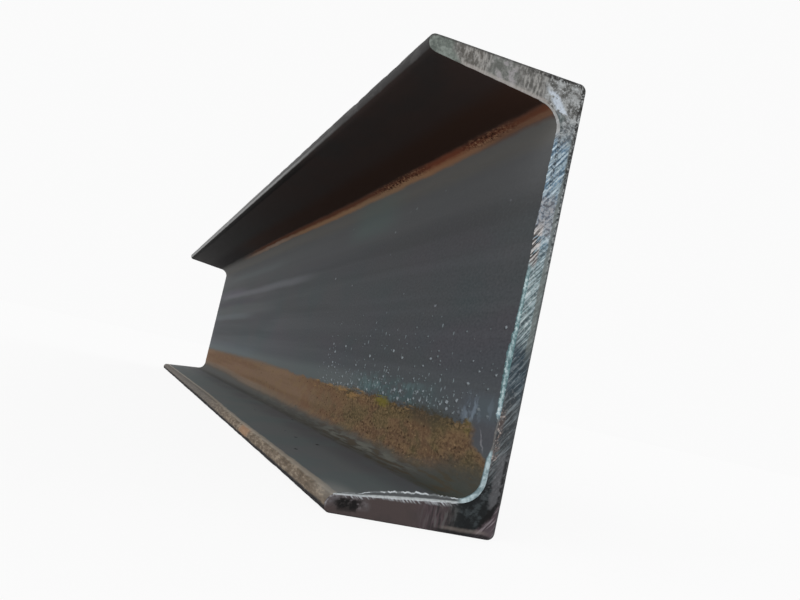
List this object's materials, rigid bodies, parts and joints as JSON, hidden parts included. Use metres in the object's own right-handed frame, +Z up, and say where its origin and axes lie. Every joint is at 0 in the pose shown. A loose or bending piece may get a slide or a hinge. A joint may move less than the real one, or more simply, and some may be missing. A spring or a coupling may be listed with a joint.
{
  "type": "steel channel",
  "caption": "Hot-rolled steel channel: upright web, two flanges with sloped inner faces, rounded roots and toes, sawn square ends; a beam or frame member.",
  "frame": {"origin": "on the floor, under the middle of the channel's box", "axes": "+Z up the web, +Y along the rolled length, +X from the toes to the back of the web"},
  "size_m": [0.075, 1.2, 0.2],
  "materials": {
    "mill_scale_steel": "dark blue-grey mill scale, rust along the roots, bright sawn ends"
  },
  "bodies": {
    "root": {"steel_channel": "mill_scale_steel"}
  },
  "joints": []
}
